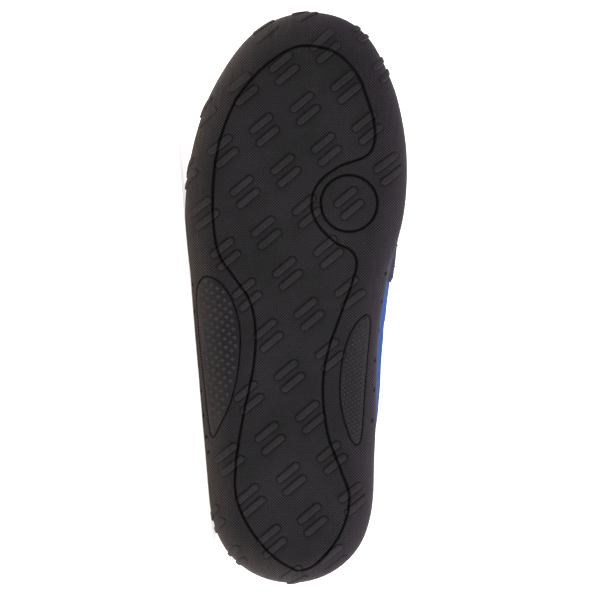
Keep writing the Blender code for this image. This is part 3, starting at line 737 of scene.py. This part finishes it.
def soft_waves(grid, rims):
    """Shallow unevenness of stretched cloth: slow swells, puckers that fade above the rubber's rim, and the
    small bump and the fold that the photograph shows."""
    lift = np.zeros(grid.shape[:2])
    for n in range(grid.shape[0]):
        for r in range(RIM_ROW, grid.shape[1]):
            p = grid[n, r]
            above = max(p[2] - rims[n], 0)
            fade = ease(above / (5 * MM))
            slow = noise.noise(Vector(p * 38)) * 0.55 + noise.noise(Vector(p * 95 + 7)) * 0.22
            pucker = noise.noise(Vector((p[0] * 420, 3.1, p[2] * 60))) * 0.22 * np.exp(-above / (7 * MM))
            lift[n, r] = (slow + pucker) * fade * MM
    bump, fold = on_side(grid, 140.5, 3.2, 24, 7), on_side(grid, 112, 2.6, 26, 14)
    return lift + (0.7 * bump - 0.6 * fold) * MM


def run_up(grid):
    """Distance up the skin at each point of a grid."""
    return np.cumsum(np.linalg.norm(np.diff(grid, axis=1, prepend=grid[:, :1]), axis=2), axis=1)


def run_lengths(grid, closed):
    """Cloth coordinates of a grid: distance round the shoe from the toe, and along the skin from its top.
    They agree on both sides of the ridge, and at the heel, where the grid's two halves meet."""
    up = run_up(grid)
    ahead = np.cumsum(np.linalg.norm(np.diff(grid, axis=0, prepend=grid[:1]), axis=2), axis=0)
    toe = len(grid) // 2
    from_toe = np.abs(ahead - ahead[toe])
    if closed:
        inner = from_toe[0]
        outer = from_toe[-1] + np.linalg.norm(grid[0] - grid[-1], axis=1)
        whole = np.where(np.arange(len(grid))[:, None] <= toe, inner, outer)
        from_toe = from_toe + ((inner + outer) / 2 - whole) * ease(2 * from_toe / whole - 1)
    return np.stack((from_toe, up - up[:, -1:], 0 * up), -1)


def mesh_grid(name, grid, coords, closed, materials):
    bm = bmesh.new()
    rows = [[bm.verts.new(p) for p in line] for line in grid]
    count = len(rows)
    for n in range(count if closed else count - 1):
        m = (n + 1) % count
        for r in range(grid.shape[1] - 1):
            bm.faces.new((rows[n][r + 1], rows[m][r + 1], rows[m][r], rows[n][r]))
    made = finish_mesh(name, bm, materials, closed=False)
    put_values(made.data, "cloth", coords.reshape(-1, 3))
    return made


def weld_and_wall(made, thickness, lining=None):
    weld = made.modifiers.new("weld", "WELD")
    weld.merge_threshold = 0.02 * MM
    wall = made.modifiers.new("wall", "SOLIDIFY")
    wall.thickness = thickness
    wall.offset = -1
    wall.use_quality_normals = True
    if lining is not None:
        wall.material_offset = lining
    return made


def upper_turns():
    """Stations of the upper, exact at the throat and at the overlay's rear edge."""
    inner = np.concatenate((
        np.linspace(0, THROAT_TURN, 84)[:-1], np.linspace(THROAT_TURN, OVERLAY_TURN, 4)[:-1],
        np.linspace(OVERLAY_TURN, pi, 84),
    ))
    return np.concatenate((inner, 2 * pi - inner[-2:0:-1]))


def shoe_skin():
    """(stations, points, normals) of the upper's outer skin. Its two sides share their normals and lie
    smooth along the ridge."""
    turns = upper_turns()
    rim = Rim(turns)
    grid = np.array([skin_curve(n, rim) for n in range(len(turns))])
    normals = grid_normals(grid)
    ridged = np.minimum(turns, 2 * pi - turns) > THROAT_TURN - 1e-3
    for n in np.flatnonzero(ridged & (turns < pi)):
        shared = normals[n, -1] + normals[-n, -1]
        normals[n, -1] = normals[-n, -1] = shared / np.linalg.norm(shared)
    toe = len(turns) // 2
    normals[toe, -1] = normals[toe - 1, -1]
    rims = base_height(rim.spot[:, 0]) + rim.rim
    lift = soft_waves(grid, rims)
    lift[ridged] *= ease(np.arange(SKIN_ROWS)[::-1] / RIDGE_FADE_ROWS)
    return turns, grid + normals * lift[..., None], normals


def build_upper(grid, materials):
    # Painted shade: the cloth hidden under the overlay is painted dark, so the gaps under the overlay's edges
    # look shaded
    under = (grid[..., 0] > SOLE_LENGTH * OVERLAY_BACK_SHARE + 0.6 * MM).astype(float)
    made = mesh_grid("stretch_upper", above_floor(grid), run_lengths(grid, True), True, materials)
    put_values(made.data, "under", under.ravel())
    return weld_and_wall(made, UPPER_WALL, lining=1)


def build_overlay(turns, grid, normals, materials):
    """The darker forefoot overlay, a thin sheet with a soft edge that follows the upper."""
    kept = np.abs(turns - pi) <= pi - OVERLAY_TURN + 1e-6
    part = grid[kept][:, RIM_ROW:]
    facing = normals[kept][:, RIM_ROW:]
    ahead = run_along(part[:, 6])
    from_edge = np.minimum(np.minimum(ahead, ahead[-1] - ahead)[:, None], run_up(part))
    lift = (0.55 + 0.75 * np.sqrt(np.clip(from_edge / (1.6 * MM), 0, 1))) * MM
    sheet = part + facing * lift[..., None]
    made = mesh_grid("forefoot_overlay", above_floor(sheet), run_lengths(part, False), False, materials)
    return weld_and_wall(made, 0.8 * OVERLAY_THICKNESS), sheet, facing


def stitch_run(bm, path, facing, length, gap, radius):
    """Short raised threads along a path, each dipping at its ends."""
    run = run_along(path)
    start = gap
    while start + length < run[-1]:
        at = np.linspace(start, start + length, 7)
        spots, ups = at_run(at, run, path), unit(at_run(at, run, facing))
        bow = np.sin(np.linspace(0, pi, 7))
        spots = spots + ups * (bow * radius * 1.2 - radius * 0.3)[:, None]
        rows = []
        for k in range(7):
            ahead = spots[min(k + 1, 6)] - spots[max(k - 1, 0)]
            ahead /= np.linalg.norm(ahead)
            side = np.cross(ahead, ups[k])
            width = radius * (0.45 + 0.55 * bow[k])
            rows.append([
                bm.verts.new(spots[k] + (side * cos(a) + ups[k] * sin(a)) * width)
                for a in np.linspace(0, 2 * pi, 7)[:-1]
            ])
        for low, high in zip(rows, rows[1:]):
            close_rings(bm, low, high)
        bm.faces.new(rows[0][::-1])
        bm.faces.new(rows[-1])
        start += length + gap


def build_overlay_stitches(sheet, facing, materials):
    bm = bmesh.new()
    for station in (3, 7):
        for n in (station, len(sheet) - 1 - station):
            path, ups = above_floor(sheet[n, 3:-1]), facing[n, 3:-1] @ TURN.T
            stitch_run(bm, path, ups, 2.1 * MM, 0.9 * MM, 0.28 * MM)
    return finish_mesh("overlay_stitches", bm, materials)


def collar_line(turns, grid, normals):
    """(edge points, outward normals) round the collar, evenly spaced."""
    kept = (turns <= THROAT_TURN + 1e-9) | (turns > 2 * pi - THROAT_TURN + 1e-9)
    both = np.concatenate((grid[kept, -1], normals[kept, -1]), axis=1)
    both = np.vstack((both, both[:1]))
    run = run_along(both[:, :3])
    even = at_run(np.linspace(0, run[-1], 300, endpoint=False), run, both)
    normal = even[:, 3:]
    for _ in range(4):
        normal = (np.roll(normal, 1, 0) + 2 * normal + np.roll(normal, -1, 0)) / 4
    return even[:, :3], unit(normal)


BINDING_LAP = 3.2 * MM


def build_binding(turns, grid, normals, materials, thread):
    """Folded tape round the collar's edge: two laps down the cloth and a rounded fold on top."""
    edge, normal = collar_line(turns, grid, normals)
    away = unit(np.cross(unit(np.roll(edge, -1, 0) - np.roll(edge, 1, 0)), normal))
    middle = edge - normal * UPPER_WALL / 2 + away * SEAT_GAP
    half = BINDING_WIDTH / 2
    lip = half * 0.93
    section = [(UPPER_WALL / 2 - 0.1 * MM, -BINDING_LAP), (lip, -BINDING_LAP + 0.15 * MM)]
    section += [(lip + 0.08 * MM, -BINDING_LAP + 0.6 * MM), (half * 0.97, -1.2 * MM), (half * 0.96, 0.9 * MM)]
    for a in np.linspace(0, pi / 2, 8)[:-1]:
        section.append((half * cos(a) ** 0.8, BINDING_HEIGHT * 0.45 + BINDING_HEIGHT * 0.5 * sin(a)))
    section = np.array(section + [(0.0, BINDING_HEIGHT * 0.95)] + [(-out, up) for out, up in section[::-1]])
    grid_points = np.zeros((len(edge), len(section), 3))
    for k in range(len(edge)):
        crinkle = 1 + 0.035 * noise.noise(Vector(edge[k] * 260))
        for s, (out, up) in enumerate(section):
            grid_points[k, s] = middle[k] + normal[k] * out * crinkle + away[k] * up
    coords = np.zeros(grid_points.shape)
    coords[..., 0] = run_along(edge)[:, None]
    coords[..., 1] = run_along(section)
    bm = bmesh.new()
    rows = [[bm.verts.new(p) for p in line] for line in above_floor(grid_points)]
    columns = list(zip(*rows))
    for n, low in enumerate(columns):
        close_rings(bm, low, columns[(n + 1) % len(columns)])
    made = finish_mesh("folded_binding", bm, materials)
    put_values(made.data, "cloth", coords.reshape(-1, 3))
    bm = bmesh.new()
    for side in (1, -1):
        line = middle + normal * side * (half + 0.02 * MM) + away * (-1.4 * MM)
        line = np.vstack((line, line[:1]))
        facing = np.vstack((normal, normal[:1])) * side
        stitch_run(bm, above_floor(line), facing @ TURN.T, 2.0 * MM, 0.9 * MM, 0.26 * MM)
    return made, finish_mesh("binding_stitches", bm, thread)


def build_insole(materials):
    """A foam slab with a cloth cover, rounded at its top edge."""
    turns = np.linspace(0, 2 * pi, 260, endpoint=False)
    rim = Rim(turns)
    fit = RUBBER_WALL + FIT_GAP + UPPER_WALL + INSOLE_GAP
    bottom = SOLE_THICKNESS + SEAT_GAP
    levels = [(bottom, 0.5), (bottom + 0.3 * MM, 0.1), (bottom + INSOLE_THICKNESS * 0.6, 0.0)]
    levels += [(bottom + INSOLE_THICKNESS * 0.9, 0.25), (bottom + INSOLE_THICKNESS, 0.9)]
    levels += [(bottom + INSOLE_THICKNESS, 2.0)]
    rings = []
    for up, pulled in levels:
        heights = np.full(len(turns), up)
        rings.append(rim.skin_at(up, rim.wall_inset(heights) + fit + pulled * MM))
    middle = np.stack((rim.spot[:, 0], BALL_WIDTH * smooth(SECTIONS, SWING, (1 - np.cos(turns)) / 2)), 1)
    top = rings[-1]
    for share in (0.25, 0.5, 0.75, 0.97):
        spot = top[:, :2] * (1 - share) + middle * share
        rings.append(np.column_stack((spot, base_height(spot[:, 0]) + bottom + INSOLE_THICKNESS)))
    bm = bmesh.new()
    rows = [[bm.verts.new(p) for p in above_floor(ring)] for ring in rings]
    for low, high in zip(rows, rows[1:]):
        close_rings(bm, low, high)
    half = len(turns) // 2
    for row in (rows[0], rows[-1]):
        inner, outer = row[: half + 1], [row[0], *row[: half - 1 : -1]]
        for n in range(half):
            corners = [inner[n], inner[n + 1], outer[n + 1], outer[n]]
            bm.faces.new([v for i, v in enumerate(corners) if v not in corners[:i]])
    made = finish_mesh("foam_insole", bm, materials)
    coords = np.vstack([np.column_stack((ring[:, :2], 0 * ring[:, 0])) for ring in rings])
    put_values(made.data, "cloth", coords)
    return made


class Graph:
    """A material's nodes, put together from short calls."""

    def __init__(self, name, roughness=0.6, specular=0.5):
        self.material = bpy.data.materials.new(name)
        self.material.use_nodes = True
        self.tree = self.material.node_tree
        self.shader = self.tree.nodes["Principled BSDF"]
        self.shader.inputs["Roughness"].default_value = roughness
        self.shader.inputs["Specular IOR Level"].default_value = specular

    def join(self, socket, value):
        if isinstance(value, bpy.types.NodeSocket):
            self.tree.links.new(value, socket)
        else:
            socket.default_value = value

    def add(self, kind, inputs=(), **settings):
        made = self.tree.nodes.new(kind)
        for name, value in settings.items():
            setattr(made, name, value)
        for name, value in dict(inputs).items():
            self.join(made.inputs[name], value)
        return made

    def math(self, operation, first, second=0.0, third=0.0):
        made = self.add("ShaderNodeMath", {0: first, 1: second, 2: third}, operation=operation)
        return made.outputs[0]

    def value(self, name, vector=False):
        made = self.add("ShaderNodeAttribute", attribute_name=name)
        return made.outputs["Vector" if vector else "Fac"]

    def dot(self, vector, by):
        made = self.add("ShaderNodeVectorMath", {0: vector, 1: by}, operation="DOT_PRODUCT")
        return made.outputs["Value"]

    def cloud(self, vector, scale, detail=3.0, roughness=0.5):
        made = self.add(
            "ShaderNodeTexNoise", {"Vector": vector, "Scale": scale, "Detail": detail, "Roughness": roughness}
        )
        return made.outputs["Fac"]

    def spread(self, value, low, high, out_low=0.0, out_high=1.0):
        made = self.add(
            "ShaderNodeMapRange", {"Value": value, 1: low, 2: high, 3: out_low, 4: out_high}, clamp=True
        )
        return made.outputs["Result"]

    def mix(self, share, first, second, blend="MIX"):
        made = self.add("ShaderNodeMix", data_type="RGBA", blend_type=blend)
        self.join(made.inputs[0], share)
        self.join(made.inputs[6], first)
        self.join(made.inputs[7], second)
        return made.outputs[2]

    def bump(self, height, distance, strength=1.0, under=None):
        made = self.add("ShaderNodeBump", {"Height": height, "Distance": distance, "Strength": strength})
        if under is not None:
            self.join(made.inputs["Normal"], under)
        return made.outputs["Normal"]

    def set(self, name, value):
        self.join(self.shader.inputs[name], value)


HATCH_PITCH = 0.92 * MM


def rubber_material():
    g = Graph("moulded_rubber", specular=0.11)
    flat, hatch, depth = g.value("flat", True), g.value("hatch"), g.value("depth")
    edge, painted_highlight = g.value("edge"), g.value("painted_highlight")
    rate = pi / HATCH_PITCH / sqrt(2)
    one = g.math("ABSOLUTE", g.math("SINE", g.dot(flat, (rate, rate, 0))))
    two = g.math("ABSOLUTE", g.math("SINE", g.dot(flat, (rate, -rate, 0))))
    cells = g.math("MULTIPLY", one, two)
    weave = g.math("MULTIPLY", cells, hatch)
    grain = g.cloud(flat, 1900.0, 2.0)
    patches = g.cloud(flat, 34.0, 4.0, 0.6)
    streaks = g.add("ShaderNodeVectorMath", {0: flat, 1: (90, 700, 90)}, operation="MULTIPLY").outputs[0]
    scuffs = g.cloud(streaks, 1.0, 5.0, 0.65)
    normal = g.bump(grain, 0.03 * MM)
    g.set("Normal", g.bump(weave, 0.20 * MM, under=normal))
    dark, pale = (0.0090, 0.0084, 0.0096, 1), (0.0160, 0.0149, 0.0166, 1)
    tone = g.mix(g.spread(patches, 0.36, 0.66), dark, pale)
    # Painted light on the rounded edge, broken up by streaky scuffs. It is lighter further round the edge,
    # brownish on the outer side as a painted reflection of the warm floor, and purplish on the inner side as
    # painted light from above.
    across = g.dot(flat, (0, 1, 0))
    outer = g.mix(g.spread(edge, 0.55, 1.0), (0.068, 0.054, 0.048, 1), (0.120, 0.093, 0.078, 1))
    side = g.mix(g.spread(across, -0.02, 0.02), outer, (0.046, 0.035, 0.049, 1))
    scuffs_and_painted_edge_light = g.math("MULTIPLY", g.spread(edge, 0.05, 0.95), g.spread(scuffs, 0.35, 0.70, 0.45, 1.0))
    tone = g.mix(scuffs_and_painted_edge_light, tone, side)
    tone = g.mix(g.spread(edge, 1.02, 1.15, 0.0, 0.8), tone, (0.062, 0.058, 0.064, 1))
    # Painted highlight: lug rims, lug tops and pips lightened
    tone = g.mix(g.math("MULTIPLY", painted_highlight, 0.75), tone, (0.034, 0.032, 0.034, 1))
    # Painted light and shade of the fine hatch: its cells lighter and the lines between them darker, varied
    # by the grain
    hatch_shading_and_grain = g.math("MULTIPLY_ADD", g.math("SUBTRACT", cells, 0.42), g.math("MULTIPLY", hatch, 2.0), 1.0)
    hatch_shading_and_grain = g.math("MULTIPLY", g.math("MAXIMUM", hatch_shading_and_grain, 0.1), g.spread(grain, 0.25, 0.75, 0.62, 1.38))
    grey = g.add("ShaderNodeCombineColor", {0: hatch_shading_and_grain, 1: hatch_shading_and_grain, 2: hatch_shading_and_grain}).outputs[0]
    tone = g.mix(1.0, tone, grey, "MULTIPLY")
    # Painted shade: grooves, lug outlines and stitch holes darkened almost to black
    tone = g.mix(g.math("MULTIPLY", depth, 0.92), tone, (0.0012, 0.0011, 0.0013, 1))
    g.set("Base Color", tone)
    g.set("Roughness", g.spread(patches, 0.3, 0.7, 0.50, 0.68))
    return g.material


def cloth_material(name, dark, pale, pitch, depth, roughness=0.85, under=None):
    """A knitted or woven cloth: fine ribs along and across, uneven thread tone and a little nap."""
    g = Graph(name, roughness=roughness, specular=0.15)
    place = g.value("cloth", True)
    rate = pi / pitch
    rib = g.math("ABSOLUTE", g.math("SINE", g.dot(place, (rate, rate * 0.35, 0))))
    back = g.math("ABSOLUTE", g.math("SINE", g.dot(place, (rate, -rate * 0.35, 0))))
    course = g.math("ABSOLUTE", g.math("SINE", g.dot(place, (0, rate * 0.8, 0))))
    loops = g.math("MULTIPLY", g.math("MAXIMUM", rib, back), g.math("MULTIPLY_ADD", course, 0.6, 0.4))
    fuzz = g.cloud(place, 2200.0, 3.0)
    patches = g.cloud(place, 60.0, 4.0, 0.55)
    normal = g.bump(fuzz, 0.02 * MM)
    g.set("Normal", g.bump(loops, depth, under=normal))
    share = g.math("MULTIPLY_ADD", loops, 0.55, g.math("MULTIPLY", patches, 0.45))
    tone = g.mix(g.spread(share, 0.25, 0.85), dark, pale)
    # Painted shade where the under value is set: the cloth hidden under the overlay is painted dark
    if under is not None:
        tone = g.mix(g.value("under"), tone, under)
    g.set("Base Color", tone)
    g.set("Sheen Weight", 0.06)
    g.set("Sheen Roughness", 0.5)
    return g.material


def thread_material(name, colour):
    g = Graph(name, roughness=0.6, specular=0.35)
    place = g.add("ShaderNodeTexCoord").outputs["Object"]
    twist = g.math("SINE", g.dot(place, (9000.0, 6000.0, 7000.0)))
    g.set("Normal", g.bump(twist, 0.03 * MM))
    tone = g.cloud(place, 900.0, 2.0)
    pale = tuple(min(c * 1.7, 1) for c in colour[:3]) + (1,)
    g.set("Base Color", g.mix(tone, colour, pale))
    return g.material


def stage():
    """A wide pale floor, lit a little from below as a light table is."""
    bm = bmesh.new()
    bmesh.ops.create_grid(bm, x_segments=8, y_segments=8, size=9.0)
    g = Graph("pale_floor", roughness=0.7, specular=0.1)
    place = g.add("ShaderNodeTexCoord").outputs["Object"]
    g.set("Base Color", g.mix(g.cloud(place, 3.0, 2.0), (0.90, 0.89, 0.88, 1), (0.93, 0.92, 0.91, 1)))
    g.set("Emission Color", (1.0, 0.955, 0.925, 1))
    g.set("Emission Strength", 0.74)
    floor = finish_mesh("floor", bm, [g.material], smooth_shading=False, closed=False)
    floor.location.z = -0.02 * MM
    bm = bmesh.new()
    bmesh.ops.create_grid(bm, x_segments=4, y_segments=4, size=4.0)
    g = Graph("white_backdrop", roughness=0.8, specular=0.1)
    g.set("Base Color", (0.9, 0.9, 0.9, 1))
    g.set("Emission Color", (1.0, 1.0, 1.0, 1))
    g.set("Emission Strength", 1.0)
    backdrop = finish_mesh("backdrop", bm, [g.material], smooth_shading=False, closed=False)
    backdrop.rotation_euler.x = pi / 2
    backdrop.location = (0, 4.5, 3.95)


def area_light(name, location, target, size, energy, colour):
    data = bpy.data.lights.new(name, "AREA")
    data.shape = "RECTANGLE"
    data.size, data.size_y = size
    data.energy = energy
    data.color = colour
    made = bpy.data.objects.new(name, data)
    bpy.context.scene.collection.objects.link(made)
    made.location = location
    made.rotation_euler = (Vector(target) - Vector(location)).to_track_quat("-Z", "Y").to_euler()


def lights():
    world = bpy.data.worlds.new("studio")
    bpy.context.scene.world = world
    world.use_nodes = True
    world.node_tree.nodes["Background"].inputs["Color"].default_value = (1.0, 1.0, 1.0, 1)
    world.node_tree.nodes["Background"].inputs["Strength"].default_value = 0.46
    centre = (0.03, 0, 0.05)
    area_light("over_heel", (0.85, -0.62, 0.85), centre, (0.4, 0.4), 13.0, (1.0, 0.99, 1.0))
    area_light("over_top", (-0.2, 0.35, 1.5), centre, (1.2, 0.6), 8.0, (0.97, 0.90, 1.0))
    bpy.context.scene.view_settings.view_transform = "Standard"


VIEW_TILT = radians(1.9)
VIEW_DISTANCE = 2.0
VIEW_LENS = 276.0
VIEW_TARGET = (0.1237, 0.00415, 0.0)


def camera():
    """The photograph's view: square on the tread, toe up, a little from the big-toe side."""
    data = bpy.data.cameras.new("camera")
    data.lens = VIEW_LENS
    data.sensor_width = 36
    made = bpy.data.objects.new("camera", data)
    bpy.context.scene.collection.objects.link(made)
    target = laid_down(VIEW_TARGET)
    back = TURN @ np.array((0, sin(VIEW_TILT), -cos(VIEW_TILT)))
    up = TURN @ np.array((1.0, 0, 0))
    right = np.cross(up, back)
    place = target + back * VIEW_DISTANCE
    made.matrix_world = Matrix([
        (right[k], up[k], back[k], place[k]) for k in range(3)
    ] + [(0, 0, 0, 1)])
    bpy.context.scene.camera = made


def main():
    camera()
    lights()
    stage()
    rubber = rubber_material()
    # The blue knit's dark under colour is painted shade for the cloth hidden under the overlay
    blue = cloth_material(
        "blue_knit", (0.002, 0.036, 0.19, 1), (0.006, 0.085, 0.36, 1), 0.62 * MM, 0.10 * MM,
        under=(0.006, 0.007, 0.034, 1),
    )
    navy = cloth_material(
        "navy_knit", (0.004, 0.005, 0.026, 1), (0.012, 0.014, 0.068, 1), 0.75 * MM, 0.12 * MM
    )
    tape = cloth_material(
        "navy_tape", (0.005, 0.006, 0.026, 1), (0.016, 0.018, 0.070, 1), 0.50 * MM, 0.09 * MM, roughness=0.75
    )
    lining = cloth_material(
        "dark_lining", (0.020, 0.021, 0.026, 1), (0.050, 0.052, 0.060, 1), 0.80 * MM, 0.08 * MM
    )
    cover = cloth_material(
        "insole_cover", (0.045, 0.046, 0.052, 1), (0.110, 0.112, 0.122, 1), 0.90 * MM, 0.10 * MM
    )
    thread = thread_material("navy_thread", (0.010, 0.012, 0.050, 1))
    sole = build_outsole([rubber])
    turns, grid, normals = shoe_skin()
    upper = build_upper(grid, [blue, lining])
    overlay, sheet, facing = build_overlay(turns, grid, normals, [navy])
    overlay_stitches = build_overlay_stitches(sheet, facing, [thread])
    binding, binding_stitches = build_binding(turns, grid, normals, [tape], [thread])
    insole = build_insole([cover])
    for made, node, slot in (
        (sole, "outsole", "black_rubber"),
        (upper, "upper", "blue_neoprene"),
        (overlay, "vamp_panel", "navy_mesh"),
        (binding, "collar_binding", "navy_binding"),
        (insole, "insole", "grey_foam"),
    ):
        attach(made, "root")
        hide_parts(node)
    for made, slot in ((overlay_stitches, "navy_mesh"), (binding_stitches, "navy_binding")):
        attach(made, "root")


main()
